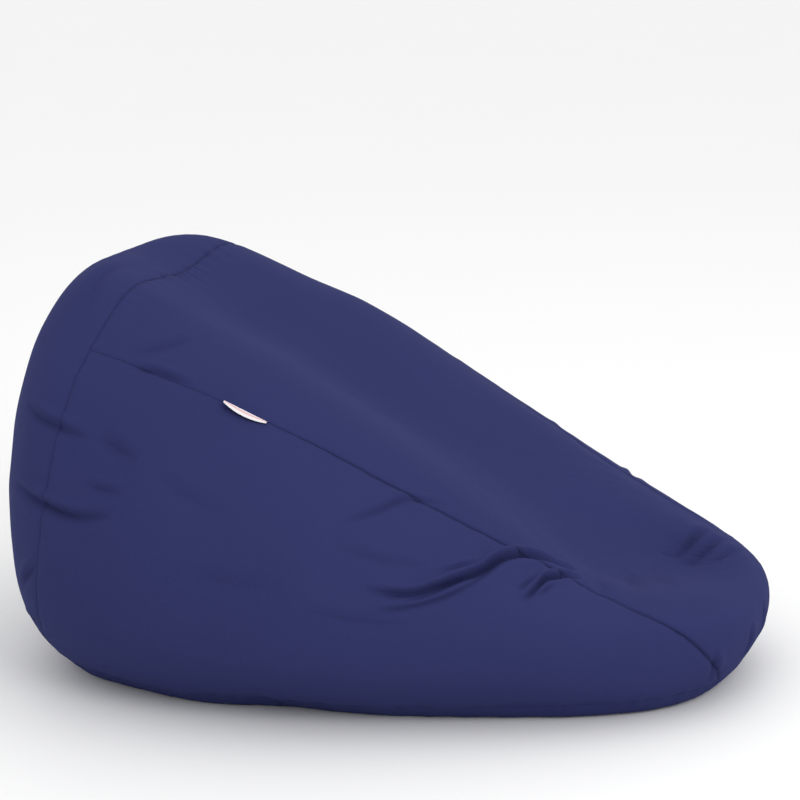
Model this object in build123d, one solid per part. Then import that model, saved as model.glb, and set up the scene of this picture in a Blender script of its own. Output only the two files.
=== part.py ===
from build123d import *
import math
import os

# A high-back bean bag chair, at rest on the floor with the hollow of a body still pressed into its seat.
# Millimetres. The origin is on the floor under the middle of the bag. +Z is up, the nose points
# along -Y, the raised back stands at +Y, and the sitter's right hand side is -X.

# ---- driving dimensions ----
bag_length = 1130
bag_half_length = bag_length / 2

# The bag's cross-sections from nose to back. Each one gives its place along the length, then its half
# width, and the heights of its underside, its widest level and its crown, and the depth of the hollow.
# An underside below zero is where the bag is pressed flat on the floor.
sections = [
    (-565, 60, 85, 112, 128, 0),
    (-550, 118, 50, 120, 142, 2),
    (-510, 192, 5, 130, 164, 10),
    (-455, 248, -25, 136, 186, 24),
    (-384, 298, -40, 142, 214, 42),
    (-226, 376, -45, 155, 292, 62),
    (-57, 440, -45, 166, 392, 72),
    (113, 470, -45, 172, 490, 80),
    (270, 465, -45, 175, 560, 72),
    (370, 436, -40, 182, 606, 40),
    (440, 392, -22, 195, 604, 14),
    (490, 334, 12, 212, 562, 4),
    (525, 268, 52, 228, 500, 0),
    (550, 188, 110, 240, 424, 0),
    (565, 84, 180, 250, 330, 0),
]
hollow_spread = 150
points_per_section = 20
side_fullness = 0.75
crown_fullness = 0.9
cutting_reach = 2000

cover_thickness = 3
liner_gap = 1.5
liner_thickness = 2
fill_gap = 0.5

# Where the cover's panels meet
base_seam_height = 26
side_seam_top = (-318, 275, 478)
side_seam_bottom = (-190, -490, 118)
side_seam_outward = (-0.78, -0.1, 0.62)
back_seam_top_y = 372
back_seam_top_z = 470
back_seam_lean = 0.14

# The zips lie across the flat base, in shallow channels that keep them off the floor
zip_y = 60
zip_slot_length = 440
zip_slot_width = 22
zip_channel_width = 66
zip_channel_end_room = 40
zip_channel_depth = 9
zip_room_above = 5
liner_zip_y = 160
liner_slot_length = 320
liner_channel_depth = 4

# Zip parts, size 5
tape_width = 14
tape_thickness = 0.8
tape_overrun = 14
coil_width = 2.8
coil_height = 2.4
coil_round = 0.72
coil_gap = 1.2
stop_length = 3
stop_width = 8.4
stop_height = 3.2
stop_round = 0.6
stop_room = 1

# The slider: two plates joined by a post between the coils, with flanges along their sides
slider_length = 13
slider_half_width = 6.2
slider_corner = 3
slider_plate = 1.6
slider_start_room = 2
running_clearance = 0.35
post_length = 3
post_width = 0.5
flange_length = 7
flange_width = 1.1
sunk_joint = 0.4
bridge_length = 9
bridge_width = 2.4
bridge_height = 3.0
bridge_wire = 1.3
lock_length = 5
lock_width = 2.2
lock_height = 0.9
lock_setback = 2

# The pull tab, with a window at its hinged end and a finger slot at its tip
pull_length = 27
pull_width = 8
pull_thickness = 1.4
pull_corner = 3
pull_rest_height = 1.2
window_length = 7.4
window_width = 4.6
grip_length = 5
grip_width = 3.4
grip_round = 1.2
grip_inset = 6

end_tab_length = 18
end_tab_width = 34
end_tab_thickness = 0.9
end_tab_gap = 0.4

# Blank labels: a folded woven tab in the long seam, and a satin one inside the cover
label_length = 68
label_stand = 10
label_sink = 1
label_fold_thickness = 1.2
label_round = 0.5
label_place = (-345, 113, 440)
care_label_length = 60
care_label_width = 35
care_label_thickness = 0.5
care_label_lift = 0.3
care_label_x = 120
care_label_gap = 6

liner_inset = cover_thickness + liner_gap
fill_inset = liner_inset + liner_thickness + fill_gap


def signed_power(value, power):
    """Power of a value that keeps its sign."""
    return math.copysign(abs(value) ** power, value)


def section_wire(section, inset):
    """Closed outline of one cross-section, drawn in by the inset."""
    along, half_width, underside, belly, crown, hollow = section
    along *= (bag_half_length - inset) / bag_half_length
    half_width -= inset
    crown -= inset
    underside += inset
    outline = []
    for step in range(points_per_section):
        angle = 2 * math.pi * step / points_per_section - math.pi / 2
        x = half_width * signed_power(math.cos(angle), side_fullness)
        rise = signed_power(math.sin(angle), crown_fullness)
        if rise > 0:
            z = belly + (crown - belly) * rise
            z -= hollow * math.exp(-((x / hollow_spread) ** 2)) * rise
        else:
            z = belly + (belly - underside) * rise
        outline.append((x, along, z))
    return Wire([Edge.make_spline([Vector(*point) for point in outline], periodic=True)])


def channel(centre_y, length, depth, inset):
    """Shallow channel pressed up into the base for a zip, grown by the inset."""
    block = Box(
        length + 2 * (zip_channel_end_room + inset),
        zip_channel_width + 2 * inset,
        cutting_reach,
    )
    return Pos(0, centre_y, depth + inset - cutting_reach / 2) * block


def bag_body(inset, main_depth, liner_depth):
    """The bag's whole volume, drawn in by the inset, cut flat where it rests and channelled for the zips."""
    body = Solid.make_loft([section_wire(section, inset) for section in sections])
    body = split(Part(body.wrapped), Plane.XY.offset(inset), keep=Keep.TOP)
    body -= channel(zip_y, zip_slot_length, main_depth, inset)
    if liner_depth:
        body -= channel(liner_zip_y, liner_slot_length, liner_depth, inset)
    return body


def slot(centre_y, length):
    """Opening through the fabric that a zip closes."""
    return Pos(0, centre_y, 0) * Box(length, zip_slot_width, 2 * base_seam_height)


def largest_solid(shape):
    """The biggest solid of a cut shape, without slivers."""
    return max(shape.solids(), key=lambda solid: solid.volume)


def side_plane(side):
    """Plane of the long seam between the seat and one side panel; its +Z side is the seat."""
    top = Vector(*side_seam_top)
    bottom = Vector(*side_seam_bottom)
    outward = Vector(*side_seam_outward)
    along = (bottom - top).normalized()
    towards_seat = outward.cross(along).normalized()
    if towards_seat.Z < 0:
        towards_seat = -towards_seat
    if side > 0:
        top = Vector(-top.X, top.Y, top.Z)
        towards_seat = Vector(-towards_seat.X, towards_seat.Y, towards_seat.Z)
    return Plane(origin=top, z_dir=towards_seat)


def back_plane():
    """Plane of the seam round the back panel; its +Z side is the back."""
    return Plane(origin=(0, back_seam_top_y, back_seam_top_z), z_dir=(0, 1, back_seam_lean))


def base_half(shell, side):
    """Front (-1) or rear (1) half of the base, which reaches up to the base seam."""
    block = Box(cutting_reach, cutting_reach, cutting_reach)
    centre_y = zip_y + side * cutting_reach / 2
    return shell & Pos(0, centre_y, base_seam_height - cutting_reach / 2) * block


def cover_panels():
    """The cover as its sewn panels."""
    outer = bag_body(0, zip_channel_depth, 0)
    inner = bag_body(cover_thickness, zip_channel_depth, 0)
    shell = outer - inner - slot(zip_y, zip_slot_length)
    upper = split(shell, Plane.XY.offset(base_seam_height), keep=Keep.TOP)
    back = split(upper, back_plane(), keep=Keep.TOP)
    front = split(upper, back_plane(), keep=Keep.BOTTOM)
    right = largest_solid(split(front, side_plane(-1), keep=Keep.BOTTOM))
    left = largest_solid(split(front, side_plane(1), keep=Keep.BOTTOM))
    seat_and_left = split(front, side_plane(-1), keep=Keep.TOP)
    seat = largest_solid(split(seat_and_left, side_plane(1), keep=Keep.TOP))
    return {
        "seat_panel": seat,
        "right_side_panel": right,
        "left_side_panel": left,
        "back_panel": back,
        "base_panel_front": base_half(shell, -1),
        "base_panel_rear": base_half(shell, 1),
    }


def liner_shell():
    """Inner bag that holds the beads, with the opening for its own zip."""
    main_depth = zip_channel_depth + zip_room_above
    outer = bag_body(liner_inset, main_depth, liner_channel_depth)
    inner = bag_body(liner_inset + liner_thickness, main_depth, liner_channel_depth)
    return outer - inner - slot(liner_zip_y, liner_slot_length)


def bead_fill():
    """The beads as one settled mass, clear of the backs of both zips."""
    main_depth = zip_channel_depth + zip_room_above
    return bag_body(fill_inset, main_depth, liner_channel_depth + zip_room_above)


def zip_parts(centre_y, slot_length, fabric_top, prefix):
    """Tapes, coils and stops of one zip whose tapes are sewn on top of the fabric round its slot."""
    tape_middle = fabric_top + tape_thickness / 2
    half_gap = coil_gap / 2
    coil_outer = half_gap + coil_width
    coil_length = slot_length - 2 * (stop_length + stop_room)
    tape = Box(slot_length + 2 * tape_overrun, tape_width, tape_thickness)
    coil = Box(coil_length, coil_width, coil_height)
    coil = fillet(coil.edges().filter_by(Axis.X), coil_round)
    parts = {}
    for name, side in (("front", -1), ("rear", 1)):
        tape_y = centre_y + side * (coil_outer + tape_width / 2)
        coil_y = centre_y + side * (half_gap + coil_width / 2)
        parts[f"{prefix}_tape_{name}"] = Pos(0, tape_y, tape_middle) * tape
        parts[f"{prefix}_coil_{name}"] = Pos(0, coil_y, tape_middle) * coil
    stop = Box(stop_length, stop_width, stop_height)
    stop = fillet(stop.edges().filter_by(Axis.X), stop_round)
    reach = (coil_length + stop_length) / 2
    parts[f"{prefix}_stop_closed"] = Pos(-reach, centre_y, tape_middle) * stop
    parts[f"{prefix}_stop_open"] = Pos(reach, centre_y, tape_middle) * stop
    for name in ("front", "rear"):
        for end in ("closed", "open"):
            parts[f"{prefix}_tape_{name}"] -= parts[f"{prefix}_stop_{end}"]
    return parts


def slider_start(slot_length):
    """Where the slider's middle is when the zip is closed."""
    return -slot_length / 2 + stop_length + slider_start_room + slider_length / 2


def slider_bridge(lower_face):
    """Arch under the slider that the pull tab hangs from."""
    arch_height = bridge_height + 2 * sunk_joint
    opening_height = bridge_height - bridge_wire
    arch = Box(bridge_length, bridge_width, arch_height)
    opening = Box(bridge_length - 2 * bridge_wire, 2 * bridge_width, opening_height)
    arch = Pos(0, 0, lower_face + sunk_joint - bridge_height / 2) * arch
    return arch - Pos(0, 0, lower_face - opening_height / 2) * opening


def slider_body(centre_y, fabric_top, slot_length, with_bridge):
    """Zip slider at the closed end: two plates joined by the post between the coils, with side flanges."""
    tape_middle = fabric_top + tape_thickness / 2
    inner_half = coil_height / 2 + running_clearance
    lower_face = -inner_half - slider_plate
    plate = Box(slider_length, 2 * slider_half_width, slider_plate)
    plate = fillet(plate.edges().filter_by(Axis.Z), slider_corner)
    post = Box(post_length, post_width, 2 * inner_half + slider_plate)
    slider = Pos(slider_length / 2 - post_length, 0, 0) * post
    flange_depth = inner_half - tape_thickness / 2 - running_clearance
    flange = Box(flange_length, flange_width, flange_depth + sunk_joint)
    for level in (-1, 1):
        slider += Pos(0, 0, level * (inner_half + slider_plate / 2)) * plate
        flange_z = level * (inner_half + (sunk_joint - flange_depth) / 2)
        for side in (-1, 1):
            flange_y = side * (slider_half_width - flange_width / 2)
            slider += Pos(0, flange_y, flange_z) * flange
    if with_bridge:
        slider += slider_bridge(lower_face)
    else:
        lock = Box(lock_length, lock_width, lock_height + 0.5 * sunk_joint)
        slider += Pos(-lock_setback, 0, lower_face - (lock_height - 0.5 * sunk_joint) / 2) * lock
    return Pos(slider_start(slot_length), centre_y, tape_middle) * slider


def bridge_centre(fabric_top, slot_length):
    """Middle of the opening under the slider's bridge, where the pull tab turns."""
    tape_middle = fabric_top + tape_thickness / 2
    lower_face = tape_middle - coil_height / 2 - running_clearance - slider_plate
    return slider_start(slot_length), zip_y, lower_face - (bridge_height - bridge_wire) / 2


def pull_tab(fabric_top, slot_length):
    """Pull tab hung on the slider's bridge by its cross bar, trailing along the zip just off the floor."""
    x, y, z = bridge_centre(fabric_top, slot_length)
    plate = Box(pull_length, pull_width, pull_thickness)
    tip_corners = plate.edges().filter_by(Axis.Z).sort_by(Axis.X)[-2:]
    plate = fillet(tip_corners, pull_corner)
    window = Box(window_length, window_width, 2 * pull_thickness)
    grip = Box(grip_length, grip_width, 2 * pull_thickness)
    grip = fillet(grip.edges().filter_by(Axis.Z), grip_round)
    plate -= Pos((window_length - pull_length) / 2, 0, 0) * window
    plate -= Pos(pull_length / 2 - grip_inset, 0, 0) * grip
    bar = Rot(90, 0, 0) * Cylinder(pull_thickness / 2, pull_width)
    tab = Pos(pull_length / 2, 0, 0) * plate + bar
    angle = math.degrees(math.asin((z - pull_rest_height) / pull_length))
    return Pos(x, y, z) * Rot(0, angle, 0) * tab


def end_tab(side, fabric_top):
    """Folded fabric tab sewn across one end of the cover's zip."""
    reach = zip_slot_length / 2 + stop_length + end_tab_gap + end_tab_length / 2
    height = fabric_top + tape_thickness + end_tab_thickness / 2
    return Pos(side * reach, zip_y, height) * Box(end_tab_length, end_tab_width, end_tab_thickness)


def woven_tab_label(right_panel, seat_panel):
    """Blank woven loop, folded over and caught in the long seam on the sitter's right."""
    plane = side_plane(-1)
    seam_edges = [edge for edge in right_panel.edges() if abs(plane.to_local_coords(edge @ 0.5).Z) < 0.01]
    wanted = Vertex(*label_place)
    nearest = min(seam_edges, key=lambda edge: edge.distance_to(wanted))
    foot = nearest.distance_to_with_closest_points(wanted)[1]
    along = (Vector(*side_seam_bottom) - Vector(*side_seam_top)).normalized()
    lift = along.cross(plane.z_dir).normalized()
    if lift.X > 0:
        lift = -lift
    middle = foot + lift * (label_stand / 2 - label_sink)
    label_plane = Plane(origin=middle, x_dir=along, z_dir=plane.z_dir)
    label = Box(label_length, label_stand, label_fold_thickness)
    label = fillet(label.edges().filter_by(Axis.X), label_round)
    return largest_solid(label_plane.location * label - right_panel - seat_panel)


def care_label():
    """Blank care label, lying inside the cover next to the zip."""
    channel_side = zip_y - zip_channel_width / 2 - cover_thickness
    y = channel_side - care_label_gap - care_label_width / 2
    z = cover_thickness + care_label_lift + care_label_thickness / 2
    return Pos(care_label_x, y, z) * Box(care_label_length, care_label_width, care_label_thickness)


def build_nodes():
    """Every sub-part by its name."""
    cover_top = zip_channel_depth + cover_thickness
    liner_top = liner_channel_depth + liner_inset + liner_thickness
    nodes = cover_panels()
    nodes["woven_tab_label"] = woven_tab_label(nodes["right_side_panel"], nodes["seat_panel"])
    nodes["care_label"] = care_label()
    nodes.update(zip_parts(zip_y, zip_slot_length, cover_top, "zip"))
    nodes["zip_slider"] = slider_body(zip_y, cover_top, zip_slot_length, True)
    nodes["zip_pull"] = pull_tab(cover_top, zip_slot_length)
    nodes["zip_end_tab_right"] = end_tab(-1, cover_top)
    nodes["zip_end_tab_left"] = end_tab(1, cover_top)
    nodes["liner"] = liner_shell()
    nodes.update(zip_parts(liner_zip_y, liner_slot_length, liner_top, "liner_zip"))
    nodes["liner_zip_slider"] = slider_body(liner_zip_y, liner_top, liner_slot_length, False)
    nodes["bead_fill"] = bead_fill()
    return nodes


os.makedirs("parts", exist_ok=True)
for node_name, node_shape in build_nodes().items():
    export_step(node_shape, f"parts/{node_name}.step")
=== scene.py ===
import math

import bmesh
import bpy
import numpy as np
from bpy.props import FloatProperty, FloatVectorProperty, IntProperty, PointerProperty
from bpy.types import Operator, Panel, PropertyGroup
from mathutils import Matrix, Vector, noise
from mathutils.bvhtree import BVHTree


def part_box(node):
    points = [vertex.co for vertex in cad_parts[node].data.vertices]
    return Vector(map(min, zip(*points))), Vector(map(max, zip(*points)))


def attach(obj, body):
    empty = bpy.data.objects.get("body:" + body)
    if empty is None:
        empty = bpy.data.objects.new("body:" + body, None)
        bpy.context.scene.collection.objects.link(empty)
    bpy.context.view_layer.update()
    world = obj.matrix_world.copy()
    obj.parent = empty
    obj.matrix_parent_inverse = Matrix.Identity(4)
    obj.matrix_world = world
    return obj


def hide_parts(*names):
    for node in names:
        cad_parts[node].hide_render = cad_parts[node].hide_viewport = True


bl_info = {
    "name": "Bean Bag Chair",
    "version": (1, 0, 0),
    "blender": (4, 5, 0),
    "location": "3D View > Sidebar > Bean Bag",
    "description": "Sews, fills and finishes a high-back bean bag chair around its frame",
    "category": "Add Mesh",
}

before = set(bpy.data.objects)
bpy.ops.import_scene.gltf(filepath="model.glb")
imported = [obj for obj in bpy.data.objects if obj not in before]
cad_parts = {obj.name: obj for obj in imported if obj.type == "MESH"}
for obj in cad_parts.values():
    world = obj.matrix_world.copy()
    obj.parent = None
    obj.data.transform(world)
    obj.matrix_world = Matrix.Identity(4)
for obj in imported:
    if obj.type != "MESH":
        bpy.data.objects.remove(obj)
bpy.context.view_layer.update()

BAG = "bag"
COVER_PANELS = (
    "seat_panel",
    "right_side_panel",
    "left_side_panel",
    "back_panel",
    "base_panel_front",
    "base_panel_rear",
)

# Where the cover's panels meet, in metres. A plane is a point on it and the side it looks to.
BASE_SEAM_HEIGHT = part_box("base_panel_front")[1].z
SIDE_SEAM_TOP = (-0.318, 0.275, 0.478)
SIDE_SEAM_BOTTOM = (-0.190, -0.490, 0.118)
SIDE_SEAM_OUTWARD = (-0.78, -0.1, 0.62)
BACK_SEAM_POINT = (0.0, 0.372, 0.470)
BACK_SEAM_NORMAL = (0.0, 1.0, 0.14)

# The zips' places come from the frame's own coils and tapes.
ZIP_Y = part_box("zip_coil_front")[1].y / 2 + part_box("zip_coil_rear")[0].y / 2
ZIP_HALF_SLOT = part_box("zip_stop_open")[1].x + 0.001
ZIP_HALF_WIDTH = 0.011
CHANNEL_HALF_WIDTH = 0.033
CHANNEL_END_ROOM = 0.04
CHANNEL_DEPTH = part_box("zip_tape_front")[0].z - 0.003
LINER_ZIP_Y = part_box("liner_zip_coil_front")[1].y / 2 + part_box("liner_zip_coil_rear")[0].y / 2
LINER_HALF_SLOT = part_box("liner_zip_stop_open")[1].x + 0.001
LINER_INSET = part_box("liner")[0].z
FILL_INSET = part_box("bead_fill")[0].z
ZIP_ROOM_ABOVE = 0.005
LINER_CHANNEL_DEPTH = 0.004

FLOOR = -0.0005
FLOOR_HALF_SIDE = 12.0
RAY_REACH = 1.5
UNDERSIDE_BELOW = 0.012
RESTING_BELOW = 0.004
FAR_AWAY = 9.0
SEAM_GROOVE_WIDTH = 0.0028
SEAM_SHADE_WIDTH = 0.0022
PUCKER_REACH = 0.016
LINER_THICKNESS = 0.0008
LABEL_HALF_LENGTH = 0.034
TAPE_STITCH_INSETS = (0.0022, 0.0058)
END_STITCH_INSETS = (0.003, 0.007)
END_STITCH_LENGTH = 0.0022
FORM_CENTRE = np.array([0.0, 0.03, 0.22])
FORM_STRETCH = np.array([0.46, 0.56, 0.30])

# Studio lights: name, place, side and share of the main one's power
SOFTBOXES = (
    ("key_softbox", (-2.4, -3.0, 2.6), 2.2, 1.0),
    ("top_softbox", (0.6, -0.6, 3.6), 2.6, 0.3),
)

# What the cover's step leaves for the later ones: its form and the fold lines laid on it
BUILT = {}

# Soft hollows that arms and knees leave: centre, radius, depth
DENTS = (
    ((-0.10, -0.36, 0.205), 0.115, 0.030),
    ((0.06, -0.42, 0.175), 0.085, 0.026),
    ((-0.30, 0.36, 0.535), 0.110, 0.016),
    ((-0.43, 0.33, 0.400), 0.065, 0.009),
    ((0.24, 0.02, 0.400), 0.120, 0.010),
    ((-0.38, 0.42, 0.300), 0.050, 0.005),
    ((-0.40, -0.20, 0.230), 0.080, 0.005),
)

# Folds: the points along each one, then its depth and its half width, all in millimetres
FOLDS = (
    # the deep one that crosses the long seam above the knee
    (((-419, -89, 218), (-395, -149, 211), (-374, -183, 219), (-350, -210, 228),
      (-321, -234, 234), (-287, -250, 242), (-262, -264, 242), (-241, -281, 238),
      (-222, -300, 231), (-206, -320, 223), (-199, -343, 213)), 15, 6.2),
    (((-420, -105, 188), (-402, -147, 193), (-386, -178, 200), (-366, -208, 212),
      (-338, -232, 225), (-306, -248, 234)), 5.8, 5.2),
    (((-405, -135, 200), (-386, -171, 208), (-362, -202, 220)), 3.6, 3.8),
    (((-359, -184, 236), (-332, -211, 241), (-304, -236, 243)), 4.6, 4.6),
    (((-413, -41, 276), (-391, -107, 255), (-361, -170, 244)), 3, 9),
    (((-454, -12, 192), (-432, -77, 175), (-403, -155, 169)), 2.6, 10),
    # the short ones below it
    (((-326, -293, 196), (-310, -301, 203), (-291, -307, 210), (-269, -312, 215),
      (-251, -323, 215), (-227, -335, 214), (-212, -351, 208)), 12, 5),
    (((-308, -310, 199), (-288, -318, 205), (-268, -325, 209)), 5, 4.2),
    (((-318, -285, 209), (-294, -296, 216), (-268, -302, 222)), 4.5, 4.2),
    # the faint pucker higher on the seam
    (((-392, -45, 300), (-345, -84, 311), (-299, -110, 319),
      (-278, -132, 313), (-250, -160, 298)), 4.2, 6),
    # round the knees and the foot
    (((20, -395, 173), (-35, -412, 171), (-90, -432, 172)), 2.6, 14),
    (((-40, -380, 175), (-110, -396, 180), (-175, -414, 182)), 2.6, 14),
    (((-140, -360, 197), (-190, -372, 195), (-238, -384, 188)), 2.6, 12),
    (((60, -420, 172), (118, -430, 176), (172, -442, 176)), 8.5, 8),
    (((45, -442, 166), (104, -456, 170), (162, -470, 168)), 7.5, 7.5),
    (((55, -462, 162), (100, -484, 164), (144, -500, 158)), 5, 8),
    # the top of the back, where arms rest on it
    (((-326, 292, 490), (-322, 253, 482), (-322, 200, 465)), 5, 7),
    (((-315, 300, 520), (-280, 260, 530), (-235, 240, 520)), 4, 10),
    (((-270, 400, 560), (-180, 410, 582), (-80, 400, 588)), 3.5, 11),
    # the big side's rear corner
    (((-325, 462, 415), (-368, 425, 409), (-392, 378, 403), (-410, 330, 397)), 5.5, 8),
    (((-350, 470, 302), (-395, 428, 296), (-423, 382, 292), (-435, 352, 289),
      (-446, 321, 290), (-454, 270, 299)), 8, 8),
    (((-409, 315, 400), (-414, 282, 388), (-423, 245, 372)), 4, 12),
    (((-433, 330, 337), (-438, 292, 331), (-442, 255, 331)), 3.4, 7),
    (((-365, 462, 150), (-395, 436, 178), (-415, 408, 204)), 5, 7.5),
    (((-330, 470, 80), (-360, 440, 100), (-385, 405, 112)), 4.5, 9),
    # the low corner of the nose
    (((-150, -525, 100), (-145, -528, 70), (-135, -515, 35)), 4, 7),
    (((-60, -560, 110), (-55, -556, 80), (-52, -545, 48)), 4.5, 7),
    (((10, -565, 120), (12, -563, 92), (10, -555, 62)), 4, 6.5),
    # long shallow ones across the big side
    (((-426, 223, 363), (-438, 157, 329), (-438, 83, 307)), 2.2, 14),
    (((-462, 160, 235), (-466, 80, 222), (-462, 10, 224)), 2.2, 13),
    # the far side and the back
    (((395, 360, 445), (438, 270, 410), (455, 180, 375)), 4.8, 13),
    (((405, 420, 255), (446, 330, 270), (462, 220, 262)), 5, 13),
    (((300, -180, 285), (345, -150, 268), (385, -100, 255)), 3.5, 9),
    (((262, -300, 222), (305, -280, 205), (345, -240, 192)), 5, 7),
    (((-300, 500, 320), (-180, 545, 300), (-60, 562, 285), (80, 558, 292)), 4, 24),
    (((0, 545, 372), (120, 535, 395), (250, 490, 385), (340, 430, 360)), 4.2, 23),
    (((-300, 470, 150), (-160, 530, 128), (0, 540, 140)), 3.8, 22),
    (((180, 520, 180), (280, 470, 195), (360, 400, 215)), 3.8, 22),
)


def unit(vector):
    """A vector as an array of length one."""
    vector = np.array(vector, float)
    return vector / np.linalg.norm(vector)


def side_plane(side):
    """A point and the seatward normal of the long seam on one side, -1 for the sitter's right."""
    along = unit(np.subtract(SIDE_SEAM_BOTTOM, SIDE_SEAM_TOP))
    seatward = unit(np.cross(SIDE_SEAM_OUTWARD, along))
    mirror = np.array([-side, 1.0, 1.0])
    return np.array(SIDE_SEAM_TOP) * mirror, seatward * mirror


def signed(points, plane):
    """Distance in front of a plane."""
    return (points - plane[0]) @ plane[1]


BACK_PLANE = (np.array(BACK_SEAM_POINT), unit(BACK_SEAM_NORMAL))
BASE_PLANE = (np.array([0.0, 0.0, BASE_SEAM_HEIGHT]), np.array([0.0, 0.0, 1.0]))
MIDDLE_PLANE = (np.array([0.0, ZIP_Y, 0.0]), np.array([0.0, 1.0, 0.0]))
SIDE_PLANES = {side: side_plane(side) for side in (-1, 1)}


def smooth_step(value, low, high):
    """0 below low, 1 above high, and smooth between."""
    share = np.clip((value - low) / (high - low), 0, 1)
    return share * share * (3 - 2 * share)


def bell(value, middle, width):
    """1 at the middle, falling smoothly to 0 about two widths away."""
    return np.exp(-(((value - middle) / width) ** 2))


# ---- plain meshes as arrays ----
def mesh_arrays(obj):
    """A triangle mesh's points and corner indices."""
    mesh = obj.data
    points = np.empty(len(mesh.vertices) * 3)
    mesh.vertices.foreach_get("co", points)
    mesh.calc_loop_triangles()
    faces = np.empty(len(mesh.loop_triangles) * 3, int)
    mesh.loop_triangles.foreach_get("vertices", faces)
    return points.reshape(-1, 3), faces.reshape(-1, 3)


def vertex_normals(points, faces):
    """Area-weighted normals."""
    a, b, c = (points[faces[:, corner]] for corner in range(3))
    facing = np.cross(b - a, c - a)
    normals = np.zeros_like(points)
    for corner in range(3):
        np.add.at(normals, faces[:, corner], facing)
    return normals / np.maximum(np.linalg.norm(normals, axis=1), 1e-12)[:, None]


def mesh_edges(faces):
    """Every edge once, and each face's three edges as indices into them."""
    pairs = np.sort(np.concatenate([faces[:, [0, 1]], faces[:, [1, 2]], faces[:, [2, 0]]]), axis=1)
    edges, index = np.unique(pairs, axis=0, return_inverse=True)
    return edges, index.reshape(3, -1).T


def relax(points, edges, rounds, rate=0.5):
    """Moves each point towards the middle of its neighbours."""
    counts = np.bincount(edges.ravel(), minlength=len(points))[:, None]
    for _ in range(rounds):
        total = np.zeros_like(points)
        np.add.at(total, edges[:, 0], points[edges[:, 1]])
        np.add.at(total, edges[:, 1], points[edges[:, 0]])
        points = points + rate * (total / counts - points)
    return points


def refine(points, faces, wanted):
    """Splits each triangle whose edges have their middles where wanted says, and leaves no gaps."""
    edges, index = mesh_edges(faces)
    middles = points[edges].mean(axis=1)
    marked = wanted(middles)
    while True:
        count = marked[index].sum(axis=1)
        if not (count == 2).any():
            break
        marked[index[count == 2]] = True
    fresh = np.full(len(edges), -1)
    fresh[marked] = len(points) + np.arange(marked.sum())
    split = fresh[index]
    corner, middle = faces[count == 3], split[count == 3]
    quarters = [np.column_stack([corner[:, k], middle[:, k], middle[:, k - 1]]) for k in range(3)]
    corner, middle = faces[count == 1], split[count == 1]
    rows, which = np.arange(len(corner)), middle.argmax(axis=1)
    start, end, far = (corner[rows, (which + turn) % 3] for turn in range(3))
    new = middle[rows, which]
    halves = [np.column_stack([start, new, far]), np.column_stack([new, end, far])]
    faces = np.vstack([faces[count == 0], *quarters, split[count == 3], *halves])
    return np.vstack([points, middles[marked]]), faces


def new_piece(name, points, faces, finish):
    """A smooth mesh object with its finish, that rides on the bag."""
    mesh = bpy.data.meshes.new(name)
    faces = faces.tolist() if isinstance(faces, np.ndarray) else faces
    mesh.from_pydata(np.asarray(points).tolist(), [], faces)
    mesh.validate()
    mesh.polygons.foreach_set("use_smooth", [True] * len(mesh.polygons))
    mesh.materials.append(finish)
    obj = bpy.data.objects.new(name, mesh)
    bpy.context.scene.collection.objects.link(obj)
    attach(obj, BAG)
    return obj


# ---- the bag's form ----
def packed_cover_tree():
    """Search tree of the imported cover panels."""
    all_points, all_faces, first = [], [], 0
    for name in COVER_PANELS:
        points, faces = mesh_arrays(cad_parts[name])
        all_points.append(points)
        all_faces.append(faces + first)
        first += len(points)
    return BVHTree.FromPolygons(np.vstack(all_points).tolist(), np.vstack(all_faces).tolist())


def channel_height(points, inset, main_depth, liner_depth):
    """Height of the underside where it is pressed flat, with the channels of the zips."""
    blur = 0.004
    height = np.full(len(points), inset)
    channels = ((ZIP_Y, ZIP_HALF_SLOT, main_depth), (LINER_ZIP_Y, LINER_HALF_SLOT, liner_depth))
    for centre, half_slot, depth in channels:
        half_width = CHANNEL_HALF_WIDTH + inset
        half_length = half_slot + CHANNEL_END_ROOM + inset
        across = smooth_step(half_width - np.abs(points[:, 1] - centre), -blur, blur)
        along = smooth_step(half_length - np.abs(points[:, 0]), -blur, blur)
        height = np.maximum(height, inset + depth * across * along)
    return height


def projected(points, tree):
    """Points moved along the line to the form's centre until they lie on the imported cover."""
    moved = np.empty_like(points)
    centre = Vector(FORM_CENTRE)
    for index, offset in enumerate(points - FORM_CENTRE):
        away = Vector(offset).normalized()
        hit = tree.ray_cast(centre + away * RAY_REACH, -away, RAY_REACH)[0]
        if hit is None:
            hit = centre - away * (centre.z / away.z)
        moved[index] = hit
    return moved


def bag_form(subdivisions):
    """The bag's outer surface as an even mesh of triangles, flat where it rests."""
    tree = packed_cover_tree()
    ball = bmesh.new()
    bmesh.ops.create_icosphere(ball, subdivisions=subdivisions, radius=1)
    points = np.array([vertex.co for vertex in ball.verts]) * FORM_STRETCH + FORM_CENTRE
    faces = np.array([[vertex.index for vertex in face.verts] for face in ball.faces])
    ball.free()
    edges, _ = mesh_edges(faces)
    points = projected(points, tree)
    for _ in range(4):
        points = projected(relax(points, edges, 6), tree)
    resting = points[:, 2] < CHANNEL_DEPTH + 0.002
    points[resting, 2] = 0
    points = relax(points, edges, 5)
    points[:, 2] = np.maximum(points[:, 2], 0)
    return points, faces


def press_dents(points, faces):
    """The form with its soft hollows."""
    normals = vertex_normals(points, faces)
    for centre, radius, depth in DENTS:
        near = bell(np.linalg.norm(points - centre, axis=1), 0, radius)
        points = points - normals * (depth * near)[:, None]
    points[:, 2] = np.maximum(points[:, 2], 0)
    return points


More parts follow.
